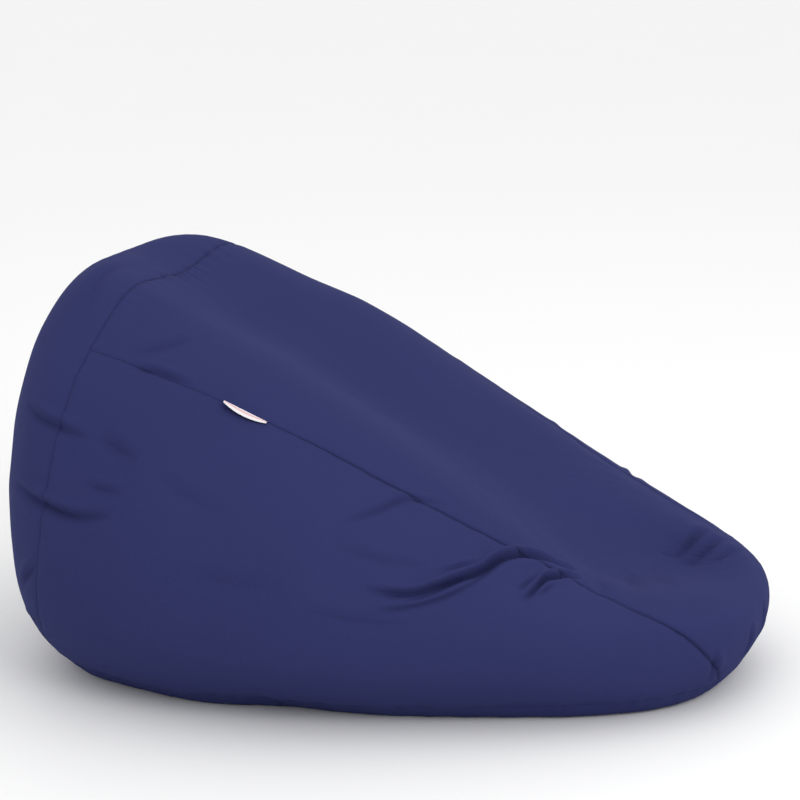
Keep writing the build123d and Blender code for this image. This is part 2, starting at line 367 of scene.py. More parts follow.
def spare_cloth(points):
    """Share of spare cloth at each point: most where the bag folds, none along its seams."""
    share = 0.3 + 0.25 * cloth_noise(points, 0.22, 5)
    share += 0.4 * smooth_step(points[:, 1], 0.30, 0.45)
    for centre, radius, _ in DENTS:
        share += 0.6 * bell(np.linalg.norm(points - centre, axis=1), 0, 1.6 * radius)
    share += 0.35 * bell(points[:, 2], 0.05, 0.05)
    return np.clip(share, 0, 1)


def simulate_cover(points, faces, settings):
    """Lets the cover swell and wrinkle on its filling, and keeps every point near where it started."""
    mesh = bpy.data.meshes.new("cover_cloth")
    mesh.from_pydata(points.tolist(), [], faces.tolist())
    cloth_object = bpy.data.objects.new("cover_cloth", mesh)
    bpy.context.scene.collection.objects.link(cloth_object)
    seams = seam_distance(points, vertex_normals(points, faces))[0]
    resting = points[:, 2] < RESTING_BELOW
    hold = np.where(resting, 1.0, np.where(seams < 0.012, settings.seam_hold, settings.filling_hold))
    for name, weights in (("hold", hold), ("spare", spare_cloth(points))):
        group = cloth_object.vertex_groups.new(name=name)
        levels = np.round(weights, 2)
        for level in np.unique(levels):
            group.add(np.flatnonzero(levels == level).tolist(), float(level), "REPLACE")
    cloth = cloth_object.modifiers.new("cloth", "CLOTH").settings
    cloth.quality = 4
    cloth.mass = 0.2
    cloth.tension_stiffness = 12
    cloth.compression_stiffness = 12
    cloth.shear_stiffness = 4
    cloth.bending_stiffness = settings.bending
    cloth.vertex_group_mass = "hold"
    cloth.pin_stiffness = 1
    cloth.vertex_group_shrink = "spare"
    cloth.shrink_min = 0.0
    cloth.shrink_max = -settings.spare_cloth
    cloth.use_pressure = True
    cloth.uniform_pressure_force = settings.pressure
    cloth.effector_weights.gravity = 0
    scene = bpy.context.scene
    for number in range(1, settings.frames + 1):
        scene.frame_set(number)
    evaluated = cloth_object.evaluated_get(bpy.context.evaluated_depsgraph_get())
    swollen = np.array([vertex.co for vertex in evaluated.data.vertices])
    scene.frame_set(1)
    bpy.data.objects.remove(cloth_object)
    moved = swollen - points
    length = np.linalg.norm(moved, axis=1)
    kept = settings.most_movement * np.tanh(length / settings.most_movement)
    points = points + moved * (kept / np.maximum(length, 1e-9))[:, None]
    points[:, 2] = np.maximum(points[:, 2], 0)
    return points


# ---- seams and folds ----
def seam_distance(points, normals):
    """How far each point is from the nearest seam, over the surface, and the seam's nearest point."""
    nearest = np.full(len(points), FAR_AWAY)
    foot = points.copy()
    base = signed(points, BASE_PLANE)
    back = signed(points, BACK_PLANE)
    above = base > -0.002
    seams = [(BASE_PLANE, np.ones(len(points), bool)), (BACK_PLANE, above)]
    seams.append((MIDDLE_PLANE, (base < 0) & (np.abs(points[:, 0]) > ZIP_HALF_SLOT)))
    for side in (-1, 1):
        seams.append((SIDE_PLANES[side], above & (back < 0.002) & (points[:, 0] * side > 0)))
    for plane, valid in seams:
        height = signed(points, plane)
        slope = plane[1] - normals * (normals @ plane[1])[:, None]
        steepness = np.maximum(np.linalg.norm(slope, axis=1), 0.35)
        distance = np.abs(height) / steepness
        closer = valid & (distance < nearest)
        nearest[closer] = distance[closer]
        step = slope * (height / steepness ** 2)[:, None]
        foot[closer] = (points - step)[closer]
    return nearest, foot


def smooth_line(stops, per_span=10):
    """A smooth line through the given points."""
    stops = np.array(stops, float)
    ends = np.vstack([2 * stops[0] - stops[1], stops, 2 * stops[-1] - stops[-2]])
    line = []
    for before, start, end, after in zip(ends[:-3], ends[1:-2], ends[2:-1], ends[3:]):
        for share in np.arange(per_span) / per_span:
            slope = 0.5 * (end - before) * share
            bend = (before - 2.5 * start + 2 * end - 0.5 * after) * share ** 2
            turn = (1.5 * (start - end) + 0.5 * (after - before)) * share ** 3
            line.append(start + slope + bend + turn)
    return np.array(line + [stops[-1]])


def along_line(points, line):
    """Each point's distance from a line, its share of the way along and the line's direction there."""
    lengths = np.linalg.norm(np.diff(line, axis=0), axis=1)
    starts = np.concatenate([[0], np.cumsum(lengths)])
    best = np.full(len(points), FAR_AWAY)
    share = np.zeros(len(points))
    offset = np.zeros_like(points)
    direction = np.zeros_like(points)
    for number, length in enumerate(lengths):
        step = (line[number + 1] - line[number]) / length
        reach = np.clip((points - line[number]) @ step, 0, length)
        away = points - line[number] - reach[:, None] * step
        distance = np.linalg.norm(away, axis=1)
        closer = distance < best
        best[closer] = distance[closer]
        share[closer] = ((starts[number] + reach) / starts[-1])[closer]
        offset[closer] = away[closer]
        direction[closer] = step
    return best, share, offset, direction


def near_line(points, line, reach):
    """Which points are inside a line's box, grown by a reach."""
    inside = (points > line.min(axis=0) - reach) & (points < line.max(axis=0) + reach)
    return np.flatnonzero(inside.all(axis=1))


def fold_lines(points, faces):
    """Each fold's line laid on the form, with its depth and its half width."""
    tree = BVHTree.FromPolygons([Vector(point) for point in points], faces.tolist())
    laid = []
    for stops, depth, width in FOLDS:
        guide = smooth_line(np.array(stops) / 1000)
        line = np.array([tree.find_nearest(Vector(point))[0] for point in guide])
        laid.append((line, depth / 1000, width / 1000))
    return laid


def fold_heights(points, normals, settings):
    """How far each fold raises or sinks the cloth, and how much painted shade each point gets from lying
    deep in a fold.
    """
    height = np.zeros(len(points))
    painted_fold_shade = np.zeros(len(points))
    for line, depth, width in BUILT["folds"]:
        index = near_line(points, line, 6 * width)
        if not len(index):
            continue
        _, share, offset, direction = along_line(points[index], line)
        offset = offset - normals[index] * (offset * normals[index]).sum(axis=1)[:, None]
        upward = np.cross(normals[index], direction)
        side = np.sign((offset * upward).sum(axis=1))
        across = np.linalg.norm(offset, axis=1) * side / width
        fade = np.sin(np.pi * share) ** 0.8
        valley = 0.55 * np.exp(-1.9 * np.abs(across)) + 0.45 * bell(across, 0, 1)
        ridge = 0.60 * bell(across, 1.7, 1.0) + 0.30 * bell(across, -2.3, 1.3)
        height[index] += settings.fold_depth * depth * fade * (ridge - valley)
        # Painted shade: the deeper in a fold a point lies, the darker its colour is painted.
        painted_fold_shade[index] = np.maximum(painted_fold_shade[index], fade * valley * min(1, depth / 0.006) ** 2)
    return height, painted_fold_shade


def cloth_noise(points, size, seed):
    """Smooth noise at each point, from -1 to 1."""
    shift = Vector((seed * 7.31, seed * 3.17, seed * 1.93))
    return np.array([noise.noise(Vector(point) / size + shift) for point in points])


def detail(points, faces, settings):
    """The form with the seams pulled in, puckers along them and folds, and the painted shade of each point,
    darkest along the seams and in the folds.
    """
    normals = vertex_normals(points, faces)
    distance, foot = seam_distance(points, normals)
    resting = 1 - smooth_step(points[:, 2], 0.002, 0.02)
    at_base = bell(points[:, 2], BASE_SEAM_HEIGHT, 0.012)
    faint = 0.65 * smooth_step(points[:, 1], -0.10, 0.16)
    pull = settings.seam_depth * (1 - 0.65 * at_base) * (1 - faint)
    height = -pull * np.exp(-distance / SEAM_GROOVE_WIDTH)
    height += 0.25 * pull * bell(distance, 0.012, 0.009)
    near = np.flatnonzero(distance < 0.07)
    ripple = cloth_noise(foot[near], 0.017, 1) + 0.6 * cloth_noise(foot[near], 0.037, 2)
    strength = 1 + 1.6 * bell(points[near, 2], BASE_SEAM_HEIGHT, 0.02)
    height[near] += settings.pucker * strength * ripple * np.exp(-distance[near] / PUCKER_REACH)
    height += 0.0024 * cloth_noise(points, 0.16, 3) + 0.0008 * cloth_noise(points, 0.05, 4)
    folds, fold_shade = fold_heights(points, normals, settings)
    height = (height + folds) * (1 - 0.85 * resting)
    points = points + normals * height[:, None]
    points[:, 2] = np.maximum(points[:, 2], 0)
    # Painted shade: the colour is darkened along the seams and in the folds, where shade falls.
    seam_shade = np.exp(-distance / SEAM_SHADE_WIDTH) * (0.6 - 0.45 * at_base) * (1 - faint)
    shade = np.clip(seam_shade + 0.5 * fold_shade, 0, 1)
    return points, shade


def wants_detail(reach):
    """Says which points are near enough to a seam or a fold to need small triangles."""
    def chosen(points):
        base = np.abs(signed(points, BASE_PLANE)) < 0.8 * reach
        back = (np.abs(signed(points, BACK_PLANE)) < reach) & (points[:, 2] > BASE_SEAM_HEIGHT)
        front = (signed(points, BACK_PLANE) < reach) & (points[:, 2] > 0)
        side = np.zeros(len(points), bool)
        for plane_side, plane in SIDE_PLANES.items():
            side |= (np.abs(signed(points, plane)) < reach) & (points[:, 0] * plane_side > 0) & front
        slot = (points[:, 2] < UNDERSIDE_BELOW) & (np.abs(points[:, 1] - ZIP_Y) < CHANNEL_HALF_WIDTH + reach)
        slot &= np.abs(points[:, 0]) < ZIP_HALF_SLOT + CHANNEL_END_ROOM + reach
        chosen_points = base | back | side | slot
        for line, _, width in BUILT["folds"]:
            index = near_line(points, line, reach + 2 * width)
            index = index[~chosen_points[index]]
            if len(index):
                chosen_points[index] = along_line(points[index], line)[0] < reach + 2 * width
        return chosen_points
    return chosen


def cut_along(points, faces, planes):
    """The mesh with edges along each plane, only where the plane's test picks faces."""
    sheet = bmesh.new()
    for point in points:
        sheet.verts.new(point)
    sheet.verts.ensure_lookup_table()
    for face in faces:
        sheet.faces.new([sheet.verts[index] for index in face])
    for (origin, normal), test in planes:
        picked = [face for face in sheet.faces if test(face.calc_center_median())]
        geometry = {item for face in picked for item in (face, *face.edges, *face.verts)}
        bmesh.ops.bisect_plane(sheet, geom=list(geometry), dist=0.0004, plane_co=origin, plane_no=normal)
    bmesh.ops.triangulate(sheet, faces=sheet.faces[:])
    sheet.verts.index_update()
    points = np.array([vertex.co for vertex in sheet.verts])
    faces = np.array([[vertex.index for vertex in face.verts] for face in sheet.faces])
    sheet.free()
    return points, faces


def panel_of(centres):
    """The name of the panel that holds each point."""
    names = np.full(len(centres), "seat_panel", dtype=object)
    for side, name in ((-1, "right_side_panel"), (1, "left_side_panel")):
        names[(signed(centres, SIDE_PLANES[side]) < 0) & (centres[:, 0] * side > 0)] = name
    names[signed(centres, BACK_PLANE) > 0] = "back_panel"
    base = signed(centres, BASE_PLANE) < 0
    names[base & (centres[:, 1] < ZIP_Y)] = "base_panel_front"
    names[base & (centres[:, 1] >= ZIP_Y)] = "base_panel_rear"
    return names


def shell(points, faces, normals, thickness, shade):
    """A closed skin: the outer faces, the same ones further in, and a rim along the open edges."""
    used, index = np.unique(faces, return_inverse=True)
    outer = index.reshape(-1, 3)
    count = len(used)
    both = np.vstack([points[used], points[used] - normals[used] * thickness])
    inner = outer[:, ::-1] + count
    directed = np.concatenate([outer[:, [0, 1]], outer[:, [1, 2]], outer[:, [2, 0]]])
    keys = directed[:, 0] * count + directed[:, 1]
    back = directed[:, 1] * count + directed[:, 0]
    rim = directed[~np.isin(keys, back)]
    walls = np.vstack([
        np.column_stack([rim[:, 1], rim[:, 0], rim[:, 0] + count]),
        np.column_stack([rim[:, 1], rim[:, 0] + count, rim[:, 1] + count]),
    ])
    return both, np.vstack([outer, inner, walls]), np.concatenate([shade[used], shade[used]])


def inner_form(inset, main_depth, liner_depth, settings):
    """The bag's surface further in, clear of the cover's seams and folds and of both zips."""
    points, faces = BUILT["form"]
    normals = vertex_normals(points, faces)
    distance, _ = seam_distance(points, normals)
    sink = settings.seam_depth * bell(distance, 0, 0.014)
    for line, depth, width in BUILT["folds"]:
        index = near_line(points, line, 6 * width)
        if len(index):
            away = along_line(points[index], line)[0]
            reach = 1.3 * settings.fold_depth * depth * bell(away, 0, 2.8 * width)
            sink[index] = np.maximum(sink[index], reach)
    sink[points[:, 2] < RESTING_BELOW] = 0
    points = points - normals * (inset + 0.0012 + sink)[:, None]
    for reach in (0.02, 0.01):
        points, faces = refine(points, faces, near_channels(reach))
    floor = channel_height(points, inset, main_depth, liner_depth)
    points[:, 2] = np.maximum(points[:, 2], floor)
    return points, faces


def near_channels(reach):
    """Says which points lie over either zip's channel."""
    def chosen(points):
        low = points[:, 2] < 0.03
        over = np.zeros(len(points), bool)
        for centre, half_slot in ((ZIP_Y, ZIP_HALF_SLOT), (LINER_ZIP_Y, LINER_HALF_SLOT)):
            across = np.abs(points[:, 1] - centre) < CHANNEL_HALF_WIDTH + reach
            over |= across & (np.abs(points[:, 0]) < half_slot + CHANNEL_END_ROOM + reach)
        return low & over
    return chosen


# ---- shader maths ----
class Signal:
    """A shader socket. Sums with numbers or other signals add Math nodes."""

    def __init__(self, finish, socket):
        self.finish = finish
        self.socket = socket

    def maths(self, operation, first, second=0.0):
        return self.finish.node("ShaderNodeMath", {"operation": operation}, {0: first, 1: second})

    def __add__(self, other):
        return self.maths("ADD", self, other)

    __radd__ = __add__

    def __sub__(self, other):
        return self.maths("SUBTRACT", self, other)

    def __rsub__(self, other):
        return self.maths("SUBTRACT", other, self)

    def __mul__(self, other):
        return self.maths("MULTIPLY", self, other)

    __rmul__ = __mul__

    def wave(self):
        return self.maths("SINE", self)

    def size(self):
        return self.maths("ABSOLUTE", self)


class Finish:
    """One material and the nodes that make it."""

    def __init__(self, name):
        self.material = bpy.data.materials.new(name)
        self.material.use_nodes = True
        self.tree = self.material.node_tree
        self.tree.nodes.clear()

    def node(self, kind, settings=None, inputs=None, output=0):
        """Adds a node, sets it up, links or sets its sockets, and returns one output."""
        node = self.tree.nodes.new(kind)
        for name, value in (settings or {}).items():
            if name == "stops":
                self.set_stops(node.color_ramp, value)
            else:
                setattr(node, name, value)
        for name, value in (inputs or {}).items():
            if isinstance(value, Signal):
                self.tree.links.new(value.socket, node.inputs[name])
            else:
                node.inputs[name].default_value = value
        return Signal(self, node.outputs[output]) if len(node.outputs) else None

    def set_stops(self, ramp, stops):
        """Puts a ramp's stops in place, each a position and a grey or a colour."""
        while len(ramp.elements) < len(stops):
            ramp.elements.new(0.5)
        for element, (position, colour) in zip(ramp.elements, stops):
            element.position = position
            element.color = colour if hasattr(colour, "__len__") else (colour, colour, colour, 1)

    def place(self):
        return self.node("ShaderNodeTexCoord", output="Object")

    def parts(self, vector):
        """The X, Y and Z of a vector."""
        return [self.node("ShaderNodeSeparateXYZ", inputs={0: vector}, output=axis) for axis in range(3)]

    def cloud(self, size, detail=2.0, roughness=0.5):
        """Smooth noise whose patches are about that size in metres."""
        inputs = {"Scale": 1 / size, "Detail": detail, "Roughness": roughness, "Vector": self.place()}
        return self.node("ShaderNodeTexNoise", inputs=inputs)

    def mix(self, factor, first, second):
        """A colour between two."""
        settings = {"data_type": "RGBA"}
        return self.node("ShaderNodeMix", settings, {0: factor, 6: first, 7: second}, output=2)

    def ramp(self, factor, stops):
        return self.node("ShaderNodeValToRGB", {"stops": stops}, {0: factor})

    def surface(self, bump=None, bump_depth=0.0001, **sockets):
        """Ends the material with one shader. Bump is a height and its depth in metres."""
        inputs = {}
        for name, value in sockets.items():
            inputs[name.replace("_", " ").title().replace("Ior", "IOR")] = value
        if bump is not None:
            inputs["Normal"] = self.node("ShaderNodeBump", inputs={"Distance": bump_depth, "Height": bump})
        shader = self.node("ShaderNodeBsdfPrincipled", inputs=inputs)
        self.node("ShaderNodeOutputMaterial", inputs={"Surface": shader})
        return self.material


def shaded(colour, share):
    """A colour made lighter or darker."""
    return tuple(min(1.0, channel * share) for channel in colour[:3]) + (1.0,)


def weave_height(finish, pitch):
    """Plain weave of that thread pitch on a surface that faces any way."""
    place = finish.place()
    x, y, z = finish.parts(place)
    facing = finish.node("ShaderNodeNewGeometry", output="Normal")
    nx, ny, nz = (part * part for part in finish.parts(facing))
    turn = math.pi / pitch
    wave_x, wave_y, wave_z = ((part * turn).wave() for part in (x, y, z))
    return nx * (wave_y * wave_z) + ny * (wave_x * wave_z) + nz * (wave_x * wave_y)


def woven_cloth(name, colour, pitch, sheen, roughness=0.88):
    """Tightly woven cloth with uneven dye and light slubs, and painted shade in its seams and folds."""
    finish = Finish(name)
    weave = weave_height(finish, pitch)
    patches = finish.cloud(0.22, 3.0, 0.55)
    slubs = finish.cloud(0.009, 2.0, 0.6)
    # Painted shade: the fold_shade attribute darkens the dye along the seams and in the folds.
    depth = finish.node("ShaderNodeAttribute", {"attribute_name": "fold_shade"}, output="Fac")
    tone = finish.mix(patches, shaded(colour, 0.86), shaded(colour, 1.14))
    thread = finish.mix(weave * 0.5 + 0.5, shaded(colour, 0.8), shaded(colour, 1.15))
    tone = finish.mix(0.45, tone, thread)
    tone = finish.mix(slubs * 0.3, tone, shaded(colour, 1.12))
    tone = finish.mix(depth * 0.8, tone, shaded(colour, 0.3))
    rough = roughness - 0.08 * slubs + 0.06 * patches
    height = weave * 0.5 + slubs * 0.5
    return finish.surface(
        bump=height, bump_depth=0.00025, base_color=tone, roughness=rough,
        sheen_weight=sheen, sheen_tint=(0.25, 0.30, 1.0, 1.0), sheen_roughness=0.45,
        specular_ior_level=0.05,
    )


def zip_tape_cloth(name, colour):
    """Narrow ribbed tape: fine ribs along it and a herringbone across it."""
    finish = Finish(name)
    x, y, _ = finish.parts(finish.place())
    rib = (y * (math.pi / 0.0007)).wave().size()
    herringbone = (x * (math.pi / 0.0005) + rib * 1.6).wave()
    fuzz = finish.cloud(0.002, 3.0)
    tone = finish.mix(rib * 0.6 + fuzz * 0.3, shaded(colour, 0.65), shaded(colour, 1.2))
    tone = finish.mix(herringbone * 0.15 + 0.15, tone, shaded(colour, 1.5))
    return finish.surface(
        bump=rib + herringbone * 0.4, bump_depth=0.00015, base_color=tone,
        roughness=0.75 + 0.1 * fuzz, sheen_weight=0.2,
    )


def nylon(name, colour):
    """Smooth translucent-looking nylon filament."""
    finish = Finish(name)
    flow = finish.cloud(0.0016, 2.0)
    tone = finish.mix(flow, shaded(colour, 0.8), shaded(colour, 1.3))
    return finish.surface(
        bump=flow, bump_depth=0.00005, base_color=tone, roughness=0.32 + 0.12 * flow,
        coat_weight=0.2 + 0.1 * flow,
    )


def zip_metal(name, enamel, bare):
    """Enamelled die-cast metal, with bare metal where edges are rubbed."""
    finish = Finish(name)
    grain = finish.cloud(0.0009, 4.0, 0.7)
    patches = finish.cloud(0.006, 2.0)
    worn = finish.node("ShaderNodeNewGeometry", output="Pointiness")
    edge = finish.ramp(worn, ((0.49, 0.0), (0.53, 1.0)))
    tone = finish.mix(patches, shaded(enamel, 0.8), shaded(enamel, 1.2))
    tone = finish.mix(edge * 0.6, tone, shaded(bare, 1.0))
    return finish.surface(
        bump=grain, bump_depth=0.00004, base_color=tone, metallic=edge * 0.6,
        roughness=0.36 - 0.1 * edge + 0.14 * grain,
    )


def label_satin(name, colour, stripe):
    """Soft satin ribbon with a woven edge stripe."""
    finish = Finish(name)
    x, y, z = finish.parts(finish.place())
    run = y * 0.87 + z * 0.42 - x * 0.2
    rib = (run * (math.pi / 0.0006)).wave()
    fuzz = finish.cloud(0.003, 3.0)
    trim = finish.node("ShaderNodeAttribute", {"attribute_name": "stripe"}, output="Fac")
    tone = finish.mix(fuzz * 0.5 + rib * 0.1, shaded(colour, 0.9), shaded(colour, 1.05))
    tone = finish.mix(trim, tone, (*stripe, 1.0))
    return finish.surface(
        bump=rib + fuzz, bump_depth=0.0001, base_color=tone, roughness=0.55 - 0.1 * fuzz,
        sheen_weight=0.15,
    )


def foam_beads(name, colour):
    """White expanded beads packed against each other."""
    finish = Finish(name)
    inputs = {"Scale": 260.0, "Vector": finish.place()}
    cell = finish.node("ShaderNodeTexVoronoi", {"feature": "F1"}, inputs, output="Distance")
    grain = finish.cloud(0.0008, 3.0)
    # Painted shade: each bead darkens towards its edge, where shade falls in the gaps between beads.
    painted_gap_shades = ((0.0, 1.0), (0.5, 0.85), (1.0, 0.45))
    tone = finish.ramp(cell, [(place, shaded(colour, share)) for place, share in painted_gap_shades])
    height = 1 - cell * cell
    return finish.surface(
        bump=height + grain * 0.05, bump_depth=0.002, base_color=tone, roughness=0.7 + 0.1 * grain,
    )


def studio_floor(name, colour):
    """Pale matte floor with the faintest mottling."""
    finish = Finish(name)
    mottle = finish.cloud(0.6, 3.0)
    tone = finish.mix(mottle, shaded(colour, 0.99), shaded(colour, 1.0))
    return finish.surface(base_color=tone, roughness=0.6 + 0.05 * mottle)


# ---- small sewn and metal parts ----
def tube_mesh(path, radius, sides=6):
    """Points and faces of a round tube along a path."""
    path = np.asarray(path, float)
    ahead = np.gradient(path, axis=0)
    ahead /= np.linalg.norm(ahead, axis=1)[:, None]
    side = np.cross(ahead, (0.31, 0.52, 0.79))
    side /= np.linalg.norm(side, axis=1)[:, None]
    up = np.cross(ahead, side)
    angles = 2 * math.pi * np.arange(sides) / sides
    ring = side[:, None] * np.cos(angles)[None, :, None] + up[:, None] * np.sin(angles)[None, :, None]
    points = (path[:, None] + radius * ring).reshape(-1, 3)
    faces = []
    for step in range(len(path) - 1):
        for corner in range(sides):
            beside = (corner + 1) % sides
            low, high = step * sides, (step + 1) * sides
            faces.append([low + corner, low + beside, high + beside, high + corner])
    faces.append(list(range(sides))[::-1])
    faces.append([(len(path) - 1) * sides + corner for corner in range(sides)])
    return points, faces


def joined(meshes):
    """Several meshes, each its points and faces, as one."""
    points, faces, first = [], [], 0
    for part_points, part_faces in meshes:
        points.extend(np.asarray(part_points).tolist())
        faces.extend([[index + first for index in face] for face in part_faces])
        first += len(part_points)
    return points, faces


def coil_mesh(node, pitch, wire):
    """The filament of one zip coil, wound inside the space the frame gives it."""
    low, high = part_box(node)
    centre_y, centre_z = (low.y + high.y) / 2, (low.z + high.z) / 2
    reach_y = (high.y - low.y) / 2 - wire
    reach_z = (high.z - low.z) / 2 - wire
    turns = int((high.x - low.x - 2 * wire) / pitch)
    steps = 12
    angles = 2 * math.pi * np.arange(turns * steps + 1) / steps
    path = np.column_stack([
        low.x + wire + pitch * angles / (2 * math.pi),
        centre_y + reach_y * np.cos(angles),
        centre_z + reach_z * np.sin(angles),
    ])
    return tube_mesh(path, wire)


def stitches(starts, ends, thread, rise):
    """Short stitches that dip into the cloth at both ends."""
    meshes = []
    for start, end in zip(starts, ends):
        share = np.linspace(0, 1, 5)[:, None]
        path = start + share * (end - start) + rise * np.sin(np.pi * share)
        meshes.append(tube_mesh(path, thread))
    return joined(meshes)


def stitch_row(start, end, pitch, gap_share=0.25):
    """Where each stitch of a straight row starts and ends."""
    start, end = np.array(start, float), np.array(end, float)
    count = max(1, round(np.linalg.norm(end - start) / pitch))
    step = (end - start) / count
    starts = start + step * np.arange(count)[:, None]
    return starts, starts + step * (1 - gap_share)


def thin_sheet(low, high, thickness, sag, across=18, along=30):
    """A slightly waved rectangle of cloth, closed all round, that fills a flat box from the frame."""
    xs, ys = np.linspace(low.x, high.x, along), np.linspace(low.y, high.y, across)
    grid_x, grid_y = np.meshgrid(xs, ys)
    middle = (low.z + high.z) / 2
    wave = sag * np.sin(90 * grid_x + 1) * np.sin(140 * grid_y)
    top = np.column_stack([grid_x.ravel(), grid_y.ravel(), (middle + wave).ravel()])
    index = np.arange(across * along).reshape(across, along)
    a, b = index[:-1, :-1].ravel(), index[:-1, 1:].ravel()
    c, d = index[1:, 1:].ravel(), index[1:, :-1].ravel()
    faces = np.vstack([np.column_stack([a, b, c]), np.column_stack([a, c, d])])
    normals = np.tile((0.0, 0.0, 1.0), (len(top), 1))
    top[:, 2] += thickness / 2
    points, faces, _ = shell(top, faces, normals, thickness, np.zeros(len(top)))
    return points, faces


def finish_node(name, finish):
    """Gives a frame part its finish."""
    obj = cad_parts[name]
    obj.data.materials.clear()
    obj.data.materials.append(finish)


# ---- what a user may change ----
def length(name, description, default):
    """A setting in metres."""
    return FloatProperty(name=name, description=description, default=default, unit="LENGTH", precision=5)


def angle(name, description, degrees):
    """A setting in degrees."""
    return FloatProperty(name=name, description=description, default=math.radians(degrees), subtype="ANGLE")


def number(name, description, default, most=100.0):
    """A plain setting, from 0 up."""
    return FloatProperty(name=name, description=description, default=default, min=0, max=most)


def colour(name, description, default):
    """A colour setting."""
    return FloatVectorProperty(
        name=name, description=description, default=default, subtype="COLOR", size=3, min=0, max=1,
    )


class CoverSettings(PropertyGroup):
    cloth_colour: colour("Cloth colour", "Dye of the cover", (0.0262, 0.0312, 0.1075))
    thickness: length("Cloth thickness", "Thickness of the cover's cloth", 0.0012)
    weave_pitch: length("Weave pitch", "Distance between threads", 0.0012)
    seam_depth: length("Seam depth", "How far seams pull in", 0.0032)
    pucker: length("Seam pucker", "Height of the puckers along seams", 0.0014)
    fold_depth: number("Fold depth", "Depth of the folds, as a share of their own", 1.0, 2)
    frames: IntProperty(
        name="Settling frames", description="How long the cloth settles", default=16, min=1, max=60,
    )
    pressure: number("Filling pressure", "Push of the beads", 1.2)
    spare_cloth: number("Spare cloth", "Extra cloth where the bag folds, as a share", 0.05, 0.2)
    bending: number("Cloth stiffness", "Resistance to creasing", 0.6)
    filling_hold: number("Filling hold", "How firmly the beads hold the cloth's shape", 0.05, 1)
    seam_hold: number("Seam hold", "How firmly the seams keep their line", 0.6, 1)
    most_movement: length("Most movement", "How far the cloth may settle", 0.010)


class TrimSettings(PropertyGroup):
    label_colour: colour("Label colour", "Ground of the woven label", (0.86, 0.83, 0.84))
    label_stripe: colour("Label stripe", "Edge stripe of the woven label", (0.62, 0.16, 0.20))
    coil_pitch: length("Coil pitch", "Length of one turn of the zip coils", 0.0014)
    coil_wire: length("Coil filament", "Radius of the zip filament", 0.00032)
    stitch_pitch: length("Stitch length", "Length of one stitch", 0.0032)
    thread_radius: length("Thread radius", "Radius of the sewing thread", 0.00022)


class StageSettings(PropertyGroup):
    floor_colour: colour("Floor colour", "Pale studio floor", (0.90, 0.90, 0.90))
    azimuth: angle("Camera azimuth", "Turn of the camera round the bag", -70.75)
    elevation: angle("Camera elevation", "Height of the camera above the horizon", 13.82)
    distance: length("Camera distance", "From the bag", 4.167)
    aim_height: length("Aim height", "Height that the camera looks at", 0.3834)
    lens: number("Lens", "Focal length in millimetres", 123.75, 300)
    key_power: number("Softbox power", "Watts of the main softbox", 45.0, 1000)
    sky_strength: number("Room light", "Strength of the white room", 1.0)


def settings_of(context):
    """The add-on's three groups of settings."""
    scene = context.scene
    return scene.bean_bag_cover, scene.bean_bag_trim, scene.bean_bag_stage


# ---- operators ----
class BEANBAG_OT_cover(Operator):
    """Shape, settle and sew the cover as its six panels"""
    bl_idname = "beanbag.cover"
    bl_label = "Sew Cover"

    def execute(self, context):
        cover = context.scene.bean_bag_cover
        points, faces = bag_form(7)
        points = press_dents(points, faces)
        points = simulate_cover(points, faces, cover)
        BUILT["form"] = (points, faces)
        BUILT["folds"] = fold_lines(points, faces)
        for reach in (0.022, 0.010):
            points, faces = refine(points, faces, wants_detail(reach))
        points, faces = self.cut_panels(points, faces)
        points, shade = detail(points, faces, cover)
        points = self.press_channel(points)
        normals = vertex_normals(points, faces)
        centres = self.flat_centres[faces].mean(axis=1)
        owner = panel_of(centres)
        slot_hole = (centres[:, 2] < 0.02) & (np.abs(centres[:, 1] - ZIP_Y) < ZIP_HALF_WIDTH)
        slot_hole &= np.abs(centres[:, 0]) < ZIP_HALF_SLOT
        cloth = woven_cloth("cover_cloth", cover.cloth_colour, cover.weave_pitch, 0.03)
        for name in COVER_PANELS:
            own = faces[(owner == name) & ~slot_hole]
            skin, skin_faces, skin_shade = shell(points, own, normals, cover.thickness, shade)
            piece = new_piece(name + "_cloth", skin, skin_faces, cloth)
            # Painted shade along the seams and in the folds, which the cloth's finish reads to darken its
            # dye.
            layer = piece.data.attributes.new("fold_shade", "FLOAT", "POINT")
            layer.data.foreach_set("value", skin_shade.astype(np.float32))
            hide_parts(name)
        return {"FINISHED"}

    def cut_panels(self, points, faces):
        """Edges along every seam and round the zip's slot."""
        def near_slot(centre):
            return centre.z < 0.02 and abs(centre.y - ZIP_Y) < 0.05 and abs(centre.x) < ZIP_HALF_SLOT + 0.04

        planes = [
            (BASE_PLANE, lambda centre: abs(centre.z - BASE_SEAM_HEIGHT) < 0.03),
            (BACK_PLANE, lambda centre: centre.z > BASE_SEAM_HEIGHT - 0.001),
            (MIDDLE_PLANE, lambda centre: centre.z < BASE_SEAM_HEIGHT + 0.001),
        ]
        for side, plane in SIDE_PLANES.items():
            planes.append((plane, lambda centre, side=side: centre.x * side > 0 and centre.z > 0.02))
        for offset in (-ZIP_HALF_WIDTH, ZIP_HALF_WIDTH):
            planes.append((((0, ZIP_Y + offset, 0), (0, 1, 0)), near_slot))
        for offset in (-ZIP_HALF_SLOT, ZIP_HALF_SLOT):
            planes.append((((offset, 0, 0), (1, 0, 0)), near_slot))
        return cut_along(points, faces, planes)

    def press_channel(self, points):
        """Lifts the underside over the zip and remembers where each point was."""
        self.flat_centres = points.copy()
        under = points[:, 2] < UNDERSIDE_BELOW
        lift = channel_height(points, 0.0, CHANNEL_DEPTH, 0.0)
        points = points.copy()
        points[under, 2] += lift[under]
        return points


